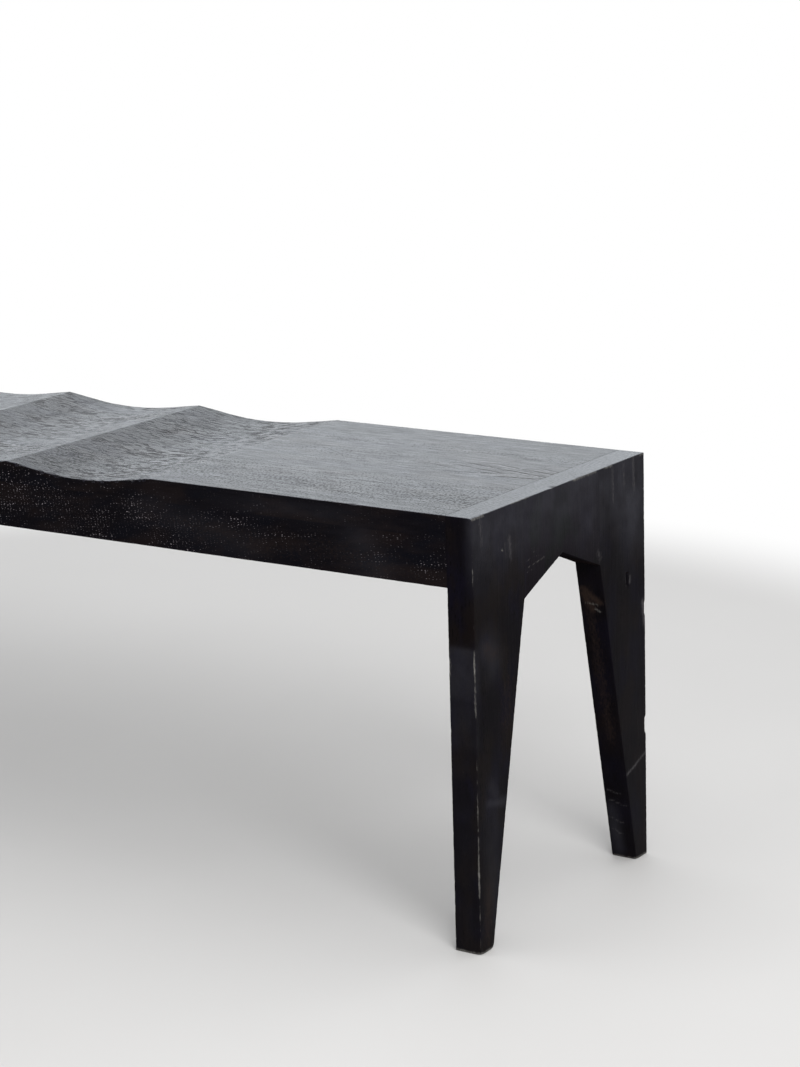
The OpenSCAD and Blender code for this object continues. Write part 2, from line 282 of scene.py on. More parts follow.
def scoop_depth(x):
    """How far the seat lies below its flat ends at a place along the bench."""
    if abs(x) >= SCOOPED_HALF:
        return 0.0
    from_ridge = x % SCOOP_PITCH
    from_ridge = min(from_ridge, SCOOP_PITCH - from_ridge)
    from_trough = SCOOP_PITCH / 2 - from_ridge
    ridge_run = RIDGE_RADIUS * math.sin(SLOPE)
    if from_ridge < ridge_run:
        return RIDGE_RADIUS - math.sqrt(RIDGE_RADIUS ** 2 - from_ridge ** 2)
    if from_trough < TROUGH_RADIUS * math.sin(SLOPE):
        return SCOOP_DEPTH - TROUGH_RADIUS + math.sqrt(TROUGH_RADIUS ** 2 - from_trough ** 2)
    ridge_drop = RIDGE_RADIUS * (1 - math.cos(SLOPE))
    return ridge_drop + (from_ridge - ridge_run) * math.tan(SLOPE)


# Hand work

def face_wave(point):
    """The wave that planing and sanding leave in a face. All boards share one field, so that
    glued faces stay flush, and it only ever goes inwards from the bench's box."""
    middle = Vector((0, 0, SEAT_TOP / 2))
    halves = (LENGTH_HALF, DEPTH_HALF, SEAT_TOP / 2)
    inwards = Vector([-FACE_WAVE * (point[i] - middle[i]) / halves[i] for i in range(3)])
    return inwards + FACE_WAVE * Vector(noise.noise_vector(point / FACE_WAVE_LENGTH))


def scoop_wave(x, y):
    """How far the carved surface of a scoop stands above or below its true curve, mostly below."""
    inside = min(1.0, scoop_depth(x) / SCOOP_WAVE_FULL)
    place = Vector((x / SCOOP_WAVE_LENGTH[0], y / SCOOP_WAVE_LENGTH[1], SCOOP_LAYER))
    return SCOOP_WAVE * inside * (noise.noise(place) - SCOOP_WAVE_SUNK)


def arris_radius(point):
    """Radius of a sanded and worn edge, which changes a little along the board."""
    place = Vector(point) / ARRIS_WAVE_LENGTH
    return ARRIS * (1 + 0.4 * noise.noise(place) + 0.2 * noise.noise(place * 4))


def glue_line(point):
    """Radius of a long glued edge, where the joint shows as a fine line in places."""
    return GLUED_EDGE + GLUE_GAP * max(0.0, noise.noise(Vector(point) / GLUE_GAP_LENGTH))


def edge_nick(place, radius):
    """How deep a free edge is knocked in at a place."""
    if radius < ARRIS / 3:
        return 0.0
    x, y, z = place
    in_scoop = abs(x) < SCOOPED_HALF and y < MM - DEPTH_HALF and z > APRON_HIGH.z
    knock = max(0.0, noise.noise(Vector(place) / NICK_LENGTH) - NICK_START)
    deepest = BESIDE_EDGE - radius - 0.1 * MM
    return min(NICK * knock * (SCOOP_NICK_SHARE if in_scoop else 1), deepest)


def mark_strengths(places, marks):
    """The strongest of some soft-edged marks at each place in mm. A mark runs from one end to
    the other."""
    strongest = numpy.zeros(len(places))
    for start, stop, reach, strength in marks:
        run = numpy.subtract(stop, start)
        share = (places - start) @ run / max(run @ run, 1e-6)
        nearest = start + numpy.outer(share.clip(0, 1), run)
        away = (((places - nearest) / reach) ** 2).sum(axis=1)
        strongest = numpy.maximum(strongest, strength * numpy.exp(-away))
    return strongest


def chip_moves(places):
    """How chips and dents move each place, in mm. Each goes inwards from those outer faces of
    the bench that it starts on."""
    box = numpy.array((LENGTH_HALF, DEPTH_HALF, SEAT_TOP)) / MM
    moves = numpy.zeros((len(places), 3))
    for chip in CHIPS:
        start = numpy.array(chip[0], dtype=float)
        high_faces = numpy.isclose(start, box, atol=0.01).astype(float)
        low_faces = numpy.isclose(start, box * (-1, -1, 0), atol=0.01).astype(float)
        outwards = high_faces - low_faces
        outwards /= numpy.linalg.norm(outwards)
        moves -= numpy.outer(mark_strengths(places, [chip]), outwards)
    return moves


# Board meshes

def add_object(name, data):
    """A new object in the scene."""
    added = bpy.data.objects.new(name, data)
    bpy.context.scene.collection.objects.link(added)
    return added


def spread(low, high, step, near=()):
    """Places from low to high at about one step, with extra ones near the named places."""
    count = max(1, round((high - low) / step))
    places = [low + (high - low) * i / count for i in range(count + 1)]
    for place in near:
        places = [p for p in places if abs(p - place) > RIDGE_REACH or p in (low, high)]
        extra = [place + offset for offset in BESIDE_RIDGE]
        places += [p for p in extra if low + SPREAD_ROOM < p < high - SPREAD_ROOM]
    return sorted(places)


def side_shares(length, count):
    """Places between two corners of a section, as shares of the side, closer near a corner."""
    beside = min(0.2, BESIDE_EDGE / length)
    past = min(0.35, PAST_EDGE / length)
    middle = [past + (1 - 2 * past) * i / count for i in range(count + 1)]
    return [beside] + middle + [1 - beside]


def section_corners(sides):
    """The four corners of a section, each with the two directions that lead into it."""
    low_a, high_a, low_b, high_b = sides
    return [(low_a, low_b, 1, 1), (high_a, low_b, -1, 1), (high_a, high_b, -1, -1),
            (low_a, high_b, 1, -1)]


def section_ring(corners, radii, nicks, counts):
    """Points round a section with rounded corners, and how free and knocked each one's edge is."""
    ring = []
    for i, (a, b, into_a, into_b) in enumerate(corners):
        # Knocked edges take more of the pale worn colour, which also paints light grey glints along
        # the torn rims of the scoops
        free = min(1.0, 2 * radii[i] / ARRIS) * (1 + min(2.0, nicks[i] / NICK))
        inset = radii[i] + nicks[i]
        for step in range(ARRIS_STEPS + 1):
            angle = math.pi * (1 + i / 2 + step / ARRIS_STEPS / 2)
            ring.append((a + inset * into_a + radii[i] * math.cos(angle),
                         b + inset * into_b + radii[i] * math.sin(angle), free))
        next_a, next_b = corners[(i + 1) % 4][:2]
        for share in side_shares(abs(next_a - a) + abs(next_b - b), counts[i % 2]):
            ring.append((a + (next_a - a) * share, b + (next_b - b) * share, 0.0))
    return ring


def end_rows(place, into, free):
    """Rows that ease a free end and close it: place, ease, closing inset and free sides of each."""
    if not any(free):
        return [(place, 0.0, 0.0, free)]
    rows = [(place, ARRIS, inset, free) for inset in CLOSING_INSETS]
    for step in range(ARRIS_STEPS + 1):
        angle = step / ARRIS_STEPS * math.pi / 2
        along = ARRIS * (1 - math.cos(angle))
        rows.append((place + into * along, ARRIS * (1 - math.sin(angle)), 0.0, free))
    return rows


def sweep(name, stations, section, radii, point, step, low_free=(0, 0, 0, 0), high_free=(0, 0, 0, 0)):
    """A board swept through its stations. section and radii give its sides and corner radii at a
    station, point the place of a section's point, and the free flags which sides of its two
    ends are eased."""
    middle = section(stations[len(stations) // 2])
    lengths = (middle[1] - middle[0], middle[3] - middle[2])
    counts = [max(1, round((length - 2 * PAST_EDGE) / step)) for length in lengths]
    low_rows = end_rows(stations[0], 1, low_free)
    high_rows = end_rows(stations[-1], -1, high_free)
    start, stop = low_rows[-1][0] + END_ROOM, high_rows[-1][0] - END_ROOM
    between = [(station, 0.0, 0.0, low_free) for station in stations if start < station < stop]
    mesh = bpy.data.meshes.new(name)
    bm = bmesh.new()
    edge_layer = bm.verts.layers.float.new("edge")
    rings = []
    for station, ease, closing, free in low_rows + between + high_rows[::-1]:
        low_a, high_a, low_b, high_b = section(station)
        insets = [ease * flag + closing for flag in free]
        corners = section_corners((low_a + insets[0], high_a - insets[1],
                                   low_b + insets[2], high_b - insets[3]))
        rounding = [max(radius - ease - closing, GLUED_EDGE / 2) for radius in radii(station)]
        nicks = [edge_nick(point(station, *corner[:2]), radius)
                 for corner, radius in zip(corners, rounding)]
        end_edge = 1.0 if any(free) and ease > 0 else 0.0
        ring = []
        for a, b, at_edge in section_ring(corners, rounding, nicks, counts):
            vertex = bm.verts.new(point(station, a, b))
            vertex[edge_layer] = 0.0 if closing else max(at_edge, end_edge)
            ring.append(vertex)
        rings.append(ring)
    for ring, following in zip(rings, rings[1:]):
        for i in range(len(ring)):
            j = (i + 1) % len(ring)
            bm.faces.new((ring[i], ring[j], following[j], following[i]))
    bm.faces.new(rings[0])
    bm.faces.new(rings[-1])
    bmesh.ops.recalc_face_normals(bm, faces=bm.faces)
    bm.to_mesh(mesh)
    bm.free()
    return add_object(name, mesh)


MARK_LAYERS = {"wear": WORN_AND_HIGHLIGHT_MARKS, "scuff": SCUFFS, "brown": BROWN_MARKS, "bloom": BLOOM_AND_REFLECTION_MARKS,
               "dust": DUST_AND_GLINT_MARKS}


def finish_board(piece, node_name, materials):
    """Gives a board its wave, its worn marks and painted edge highlights, and joins it to its body
    and hides the node that it stands for. Its materials are for its sides, for faces that look up and
    for those that look down."""
    mesh = piece.data
    places = numpy.array([tuple(vertex.co) for vertex in mesh.vertices]) / MM
    marks = {layer: mark_strengths(places, table) for layer, table in MARK_LAYERS.items()}
    moves = chip_moves(places).tolist()
    edge = [item.value for item in mesh.attributes["edge"].data]
    for vertex, at_edge, move in zip(mesh.vertices, edge, moves):
        place = vertex.co.copy()
        rub_and_highlight = EDGE_RUB_AND_HIGHLIGHT + sum(share * noise.noise(place / length) for length, share in EDGE_RUB_AND_HIGHLIGHT_WAVES)
        # Pale worn colour along the free edges, which also paints the highlight that their rounding
        # catches
        marks["wear"][vertex.index] += EDGE_WEAR_AND_HIGHLIGHT * at_edge * max(0.0, rub_and_highlight)
        vertex.co += face_wave(place) + MM * Vector(move)
    for layer, strengths in marks.items():
        values = mesh.attributes.new(layer, "FLOAT", "POINT").data
        values.foreach_set("value", strengths.clip(0, STRONGEST_MARK))
    for polygon in mesh.polygons:
        polygon.use_smooth = True
        upwards = polygon.normal.z
        polygon.material_index = 1 if upwards > LOOKS_UP else 2 if upwards < LOOKS_DOWN else 0
    mesh.set_sharp_from_angle(angle=SHARP_ANGLE)
    even = piece.modifiers.new("even_shading", "WEIGHTED_NORMAL")
    even.keep_sharp = True
    for material in materials:
        mesh.materials.append(material)
    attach(piece, "root")
    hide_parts(node_name)


# Seat and aprons

def seat_board(name, materials):
    """A seat board, which runs between the end frames, with the scoops cut in its top."""
    low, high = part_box(name)
    ridges = [SCOOP_PITCH * i for i in range(-SCOOP_COUNT // 2, SCOOP_COUNT // 2 + 1)]
    at_front = abs(low.y + DEPTH_HALF) < MM
    stations = spread(low.x, high.x, FRONT_SEAT_STEP if at_front else SEAT_STEPS[0], ridges)
    at_back = abs(high.y - DEPTH_HALF) < MM

    def section(x):
        return low.y, high.y, low.z, high.z - scoop_depth(x)

    def radii(x):
        front = arris_radius((x, low.y, high.z)) if at_front else GLUED_EDGE
        back = arris_radius((x, high.y, high.z)) if at_back else GLUED_EDGE
        joint = glue_line((x, low.y, low.z))
        return joint, joint, back, front

    def point(x, y, z):
        place = Vector((x / RIDGE_WANDER_LENGTH[0], y / RIDGE_WANDER_LENGTH[1], RIDGE_LAYER))
        wander = RIDGE_WANDER * noise.noise(place)
        top_share = (z - low.z) / (high.z - scoop_depth(x) - low.z)
        lift = scoop_depth(x) - scoop_depth(x + wander) + scoop_wave(x, y)
        return x, y, z + top_share * lift

    piece = sweep(name + "_wood", stations, section, radii, point, SEAT_STEPS[1])
    finish_board(piece, name, materials)


def apron(name, materials):
    """A rail under the seat's edge, flush with it."""
    low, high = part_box(name)
    stations = spread(low.x, high.x, APRON_STEPS[0])

    def section(x):
        return low.y, high.y, low.z, high.z

    def radii(x):
        joint = glue_line((x, low.y, high.z))
        return arris_radius((x, low.y, low.z)), arris_radius((x, high.y, low.z)), joint, joint

    def point(x, y, z):
        return x, y, z

    piece = sweep(name + "_wood", stations, section, radii, point, APRON_STEPS[1])
    finish_board(piece, name, materials)


# End frames

def leg(name, materials, step):
    """A leg board with its long taper, from the floor to the top of the seat."""
    low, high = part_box(name)
    side = 1 if low.x > 0 else -1
    back = 1 if low.y > 0 else -1
    stations = spread(0.0, high.z, step, (SHOULDER, APRON_LOW.z))

    def section(z):
        width = FOOT_WIDTH + (high.y - low.y - FOOT_WIDTH) * min(1.0, z / SHOULDER)
        return FRAME_INSIDE, LENGTH_HALF, DEPTH_HALF - width, DEPTH_HALF

    def radii(z):
        y = back * DEPTH_HALF
        outside = arris_radius((side * LENGTH_HALF, y, z))
        inside = arris_radius((side * FRAME_INSIDE, y, z)) if z < APRON_LOW.z else GLUED_EDGE
        taper = arris_radius((side * FRAME_INSIDE, 0, z)) if z < SHOULDER else GLUED_EDGE
        return taper, taper, outside, inside

    def point(z, x, y):
        return side * x, back * y, z

    piece = sweep(name + "_wood", stations, section, radii, point, step,
                  low_free=(1, 1, 1, 1), high_free=(0, 1, 0, 1))
    finish_board(piece, name, materials)


def bridge(name, materials, step):
    """The short board between two legs, cut to an open V below."""
    low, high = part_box(name)
    side = 1 if low.x > 0 else -1
    stations = spread(low.y, high.y, step, (0.0,))

    def section(y):
        underside = PEAK - (PEAK - SHOULDER) * abs(y) / high.y
        return FRAME_INSIDE, LENGTH_HALF, underside, high.z

    def radii(y):
        under = arris_radius((side * FRAME_INSIDE, y, SHOULDER))
        outside = arris_radius((side * LENGTH_HALF, y, high.z))
        return under, under, outside, GLUED_EDGE

    def point(y, x, z):
        return side * x, y, z

    piece = sweep(name + "_wood", stations, section, radii, point, step)
    finish_board(piece, name, materials)


# Materials

# Stain colours that all the oak shares
DRY_STAIN = "#3a383f"
PORE_BLACK = "#050405"
# Pale specks in the pores: dust, and painted glints off their flanks
PORE_DUST_AND_GLINT = "#a39ca1"
# Grey of dried oil, also used as painted reflected light
OIL_BLOOM_AND_REFLECTION = "#35353b"
BROWN_WOOD = "#281f1b"
RUBBED_WOOD = "#444244"
# Pale worn wood, also painted as the highlight that a rounded edge catches
BARE_WOOD_AND_HIGHLIGHT = ("#323130", "#7c7a76")

# Which channel of the patches' noise each kind of patch takes, and where it fades in
STAIN_PATCHES = (("Blue", (0.45, 0.62)), ("Green", (0.47, 0.62)))

# How far a mark spreads once its strength and the grit of the wood reach its start
MARK_SOFTNESS = 0.55

# Relief of the wood in mm, and how much rougher its dull places are than the oiled wood
LATE_WOOD_HEIGHT = 0.06
PORE_DEPTH = 0.3
ARCH_DEPTH = 0.5
FIBRE_ROUGHNESS = 0.05
PORE_ROUGHNESS = 0.1
DRY_ROUGHNESS = 0.2
HOLLOW_ROUGHNESS = 0.15
JOINT_ROUGHNESS = 0.09

# How steeply a pore's wall drops, and how few of the pores hold many pale specks of dust and painted
# glint
PORE_WALL = 8.0
DUST_AND_GLINT_FALLOFF = 1.8

# Oil on wood
OIL_IOR = 1.45

# The ring wave of the node repeats 20 times in 2 pi, and rings run long beside their width
RINGS_PER_TURN = 20
RING_STRETCH = 9

# Shares of a ring's width between which early wood thins out, and the late line comes up
EARLY_WOOD = (0.62, 0.2)
LATE_LINE = (0.7, 1.0)

# Arches of the grain: the gap between two of them along the board, how much longer than wide
# they are, the radius of their points, the width of their lines, how far their waver moves
# them, and where they fade: along the board from their points, and across it
ARCH_GAP = 62 * MM
ARCH_SLOPE = 4.5
ARCH_NOSE = 2.5 * MM
ARCH_LINE = 0.2 * ARCH_GAP
ARCH_WAVER = 0.5 * ARCH_GAP
ARCH_FADE_ALONG = (160, 60)
ARCH_FADE_ACROSS = (40 * MM, 30 * MM)

# Hollows of the scoops: length and width in mm, the fade at the scoops' ends and beside a ridge,
# and the stretch of the bench over which they get deeper
HOLLOW_SIZE = (14, 5.5)
HOLLOW_END = 8 * MM
HOLLOW_RIDGE = 5 * MM
HOLLOW_RISE = (0.0, 0.38)

# The dull line at a seat board's ends: where it starts and is full, from the end
END_JOINT = (2.2 * MM, 1.0 * MM)

# Fittings: length and width of their flecks in mm, two colours, relief in mm, least and most
# roughness, and how metallic
FITTING_LOOKS = {
    "beech_turned": ((2.5, 1.111), ("#b48a62", "#cfa983"), 0.1, (0.6, 0.6), 0.0),
    "zinc_plated_steel_cold_formed": ((1.111, 1.111), ("#8d8f92", "#b3b4b2"), 0.05, (0.3, 0.5), 1.0),
}


def linear(hex_colour):
    """An sRGB hex colour as linear red, green, blue and alpha."""
    channels = [int(hex_colour[i:i + 2], 16) / 255 for i in (1, 3, 5)]
    return [c / 12.92 if c <= 0.04045 else ((c + 0.055) / 1.055) ** 2.4 for c in channels] + [1.0]


def set_inputs(tree, made, inputs):
    """Sets or links a node's inputs. A colour is given in hex, a range From or To by its two
    ends, and a node given as an input links its first output that is in use."""
    for key, value in inputs.items():
        if key in ("From", "To"):
            set_inputs(tree, made, {key + " Min": value[0], key + " Max": value[1]})
            continue
        if isinstance(key, str):
            socket = next(s for s in made.inputs if s.name == key and s.enabled)
        else:
            socket = made.inputs[key]
        if isinstance(value, str):
            value = linear(value)
        if isinstance(value, bpy.types.Node):
            value = next(s for s in value.outputs if s.enabled)
        if isinstance(value, bpy.types.NodeSocket):
            tree.links.new(value, socket)
        else:
            socket.default_value = value


def node(tree, kind, inputs=None, **settings):
    """Adds a node with its settings, and sets or links its inputs."""
    made = tree.nodes.new("ShaderNode" + kind)
    for setting, value in settings.items():
        setattr(made, setting, value)
    set_inputs(tree, made, inputs or {})
    return made


def new_material(name):
    """An empty material. Returns it, its tree, its main shader and a point's own place."""
    material = bpy.data.materials.new(name)
    material.use_nodes = True
    tree = material.node_tree
    return material, tree, tree.nodes["Principled BSDF"], node(tree, "TexCoord").outputs["Object"]


def stretched_space(tree, mm, size):
    """Space whose units have a size in mm along and across the grain."""
    return node(tree, "VectorMath", {0: mm, 1: (1 / size[0], 1 / size[1], 1 / size[1])},
                operation="MULTIPLY")


def stretched_noise(tree, mm, size, **inputs):
    """Noise whose patches have a size in mm along and across the grain."""
    settings = {"Vector": stretched_space(tree, mm, size), "Scale": 1.0, "Detail": 3.0}
    settings.update({key.replace("_", " ").title(): value for key, value in inputs.items()})
    return node(tree, "TexNoise", settings)


def growth_rings(tree, mm, ring_gap):
    """How far into the early wood of a year's ring a point is, and how near its late line."""
    scale = 2 * math.pi / RINGS_PER_TURN / ring_gap
    rings = node(tree, "TexWave", {
        "Vector": stretched_space(tree, mm, (RING_STRETCH, 1)), "Scale": scale,
        "Distortion": 14.0, "Detail": 2.0, "Detail Scale": 0.014 / scale,
        "Detail Roughness": 0.45}, wave_type="RINGS", rings_direction="X", wave_profile="SAW")
    return [node(tree, "MapRange", {"Value": rings, "From": ends}, interpolation_type="SMOOTHSTEP")
            for ends in (EARLY_WOOD, LATE_LINE)]


def pore_thickness(tree, where, patch, porous):
    """How many pores a place has: in a band along the board if one is given, or in patches."""
    if not porous:
        return node(tree, "MapRange", {
            "Value": patch.outputs["Red"], "From": (0.4, 0.6), "To": (0.6, 1.1)})
    middle, reach, inside, outside = porous
    across = node(tree, "Math", {0: where.outputs["Y"], 1: middle * MM}, operation="SUBTRACT")
    across = node(tree, "Math", {0: across}, operation="ABSOLUTE")
    band = node(tree, "MapRange", {
        "Value": across, "From": (0.0, reach * MM),
        "To": (inside, outside)}, interpolation_type="SMOOTHSTEP")
    uneven = node(tree, "MapRange", {
        "Value": patch.outputs["Red"], "From": (0.35, 0.6), "To": (0.8, 1.1)})
    return node(tree, "Math", {0: band, 1: uneven}, operation="MULTIPLY")


def arch_lines(tree, mm, where, points):
    """Lines of early wood that nest in long narrow arches near the end of a board, where its
    face cuts through the rings."""
    across = node(tree, "Math", {0: where.outputs["Y"], 1: points[1] * MM}, operation="SUBTRACT")
    bend = node(tree, "CombineXYZ", {"X": across, "Y": ARCH_NOSE})
    bend = node(tree, "VectorMath", {0: bend}, operation="LENGTH").outputs["Value"]
    along = node(tree, "Math", {0: bend, 1: ARCH_SLOPE, 2: where.outputs["X"]},
                 operation="MULTIPLY_ADD")
    waver = stretched_noise(tree, mm, (40, 12))
    along = node(tree, "Math", {0: waver, 1: ARCH_WAVER, 2: along}, operation="MULTIPLY_ADD")
    beside = node(tree, "Math", {0: along, 1: ARCH_GAP / 2}, operation="PINGPONG")
    line = node(tree, "MapRange", {"Value": beside, "From": (0.0, ARCH_LINE), "To": (1.0, 0.0)})
    fades = [(points[0] - far) * MM for far in ARCH_FADE_ALONG]
    near_end = node(tree, "MapRange", {"Value": where.outputs["X"], "From": fades})
    near_middle = node(tree, "Math", {0: across}, operation="ABSOLUTE")
    near_middle = node(tree, "MapRange", {"Value": near_middle, "From": ARCH_FADE_ACROSS})
    broken = node(tree, "MapRange", {
        "Value": stretched_noise(tree, mm, (9, 3)), "From": (0.3, 0.5)})
    for share in (near_end, near_middle, broken):
        line = node(tree, "Math", {0: line, 1: share}, operation="MULTIPLY")
    return line


def pore_pattern(tree, mm, share, size, face, order):
    """The cells that hold a pore each, and how deep in its pore a point is. The pores of oak are
    0.3 mm wide, and they are drawn in clumps of 1 mm or more to show in the picture."""
    space = stretched_space(tree, mm, size)
    if face:
        sides = node(tree, "SeparateXYZ", {"Vector": space})
        space = node(tree, "CombineXYZ", {"X": sides.outputs["X"], "Y": sides.outputs[face]})
    cells = node(tree, "TexVoronoi", {"Vector": space, "Scale": 1.0, "Randomness": 1 - order},
                 voronoi_dimensions="2D" if face else "3D")
    inside = node(tree, "Math", {0: share, 1: cells.outputs["Distance"]}, operation="SUBTRACT")
    pore = node(tree, "Math", {0: inside, 1: PORE_WALL}, operation="MULTIPLY", use_clamp=True)
    return cells, pore


def scoop_hollows(tree, mm, where, patch):
    """The short hollows that the carver's tool leaves in the scoops, deeper in some places and
    towards the right, but not on their ridges."""
    dashes = stretched_noise(tree, mm, HOLLOW_SIZE, roughness=0.6, distortion=0.5)
    hollows = node(tree, "MapRange", {"Value": dashes, "From": (0.505, 0.38)})
    from_middle = node(tree, "Math", {0: where.outputs["X"]}, operation="ABSOLUTE")
    scooped = node(tree, "MapRange", {
        "Value": from_middle, "From": (SCOOPED_HALF, SCOOPED_HALF - HOLLOW_END)})
    from_ridge = node(tree, "Math", {0: where.outputs["X"], 1: SCOOP_PITCH / 2},
                      operation="PINGPONG")
    off_ridge = node(tree, "MapRange", {
        "Value": from_ridge, "From": (0.0, HOLLOW_RIDGE), "To": (0.3, 1.0)})
    uneven = node(tree, "MapRange", {
        "Value": patch.outputs["Green"], "From": (0.38, 0.6), "To": (0.5, 1.2)})
    rise = node(tree, "MapRange", {
        "Value": where.outputs["X"], "From": HOLLOW_RISE, "To": (0.64, 1.32)})
    for share in (off_ridge, scooped, uneven, rise):
        hollows = node(tree, "Math", {0: hollows, 1: share}, operation="MULTIPLY")
    return hollows


def end_joint(tree, where):
    """The dull line of old glue and polish where a seat board meets an end frame."""
    from_middle = node(tree, "Math", {0: where.outputs["X"]}, operation="ABSOLUTE")
    ends = [FRAME_INSIDE - inset for inset in END_JOINT]
    return node(tree, "MapRange", {"Value": from_middle, "From": ends})


def stain_colour(tree, patch, dry, pore, stains):
    """Stain in its main colour and two kinds of patch, greyer where dry, blacker in the pores."""
    patches = [node(tree, "MapRange", {"Value": patch.outputs[channel], "From": ends})
               for channel, ends in STAIN_PATCHES]
    colour = stains[0]
    for share, shows in zip(patches + [dry, pore], stains[1:] + (DRY_STAIN, PORE_BLACK)):
        colour = node(tree, "Mix", {"Factor": share, "A": colour, "B": shows}, data_type="RGBA")
    return colour


def painted_marks(tree, mm, colour):
    """Grey dried oil and painted reflected light, brown wood under thin stain, grey scuffs, and pale
    worn wood that also paints edge highlights, over a colour.
    """
    grit = stretched_noise(tree, mm, (5, 1.8), detail=4.0, roughness=0.7)
    bare_and_highlight = node(tree, "Mix", {"Factor": grit, "A": BARE_WOOD_AND_HIGHLIGHT[0], "B": BARE_WOOD_AND_HIGHLIGHT[1]}, data_type="RGBA")
    blotches = node(tree, "MapRange", {
        "Value": stretched_noise(tree, mm, (24, 19)), "From": (0.36, 0.64), "To": (0.72, 1.15)})
    # Painted reflected light and grey dried oil, in soft blotches
    bloom = node(tree, "Attribute", attribute_name="bloom").outputs["Fac"]
    bloom = node(tree, "Math", {0: bloom, 1: blotches}, operation="MULTIPLY")
    colour = node(tree, "Mix", {"Factor": bloom, "A": colour, "B": OIL_BLOOM_AND_REFLECTION}, data_type="RGBA")
    # The last layer paints pale worn wood and the highlights of edges
    for layer, shows, starts in (("brown", BROWN_WOOD, 0.62), ("scuff", RUBBED_WOOD, 0.66),
                                 ("wear", bare_and_highlight, 0.85)):
        mark = node(tree, "Attribute", attribute_name=layer).outputs["Fac"]
        share = node(tree, "Math", {0: mark, 1: grit}, operation="ADD")
        share = node(tree, "MapRange", {"Value": share, "From": (starts, starts + MARK_SOFTNESS)})
        colour = node(tree, "Mix", {"Factor": share, "A": colour, "B": shows}, data_type="RGBA")
    return colour


def pore_dust_and_glint(tree, cells, pore, dust, colour):
    """Pale specks in some of the pores, over a colour: dust, and painted glints off their flanks."""
    chance = node(tree, "SeparateColor", {"Color": cells.outputs["Color"]})
    speck_marks = node(tree, "Attribute", attribute_name="dust").outputs["Fac"]
    chance = node(tree, "Math", {0: chance, 1: speck_marks}, operation="ADD")
    dust_and_glint_share = node(tree, "MapRange", {"Value": chance, "From": (1 - dust, 1.5)})
    dust_and_glint_share = node(tree, "Math", {0: dust_and_glint_share, 1: DUST_AND_GLINT_FALLOFF}, operation="POWER")
    dust_and_glint_share = node(tree, "Math", {0: dust_and_glint_share, 1: pore}, operation="MULTIPLY")
    return node(tree, "Mix", {"Factor": dust_and_glint_share, "A": colour, "B": PORE_DUST_AND_GLINT}, data_type="RGBA")


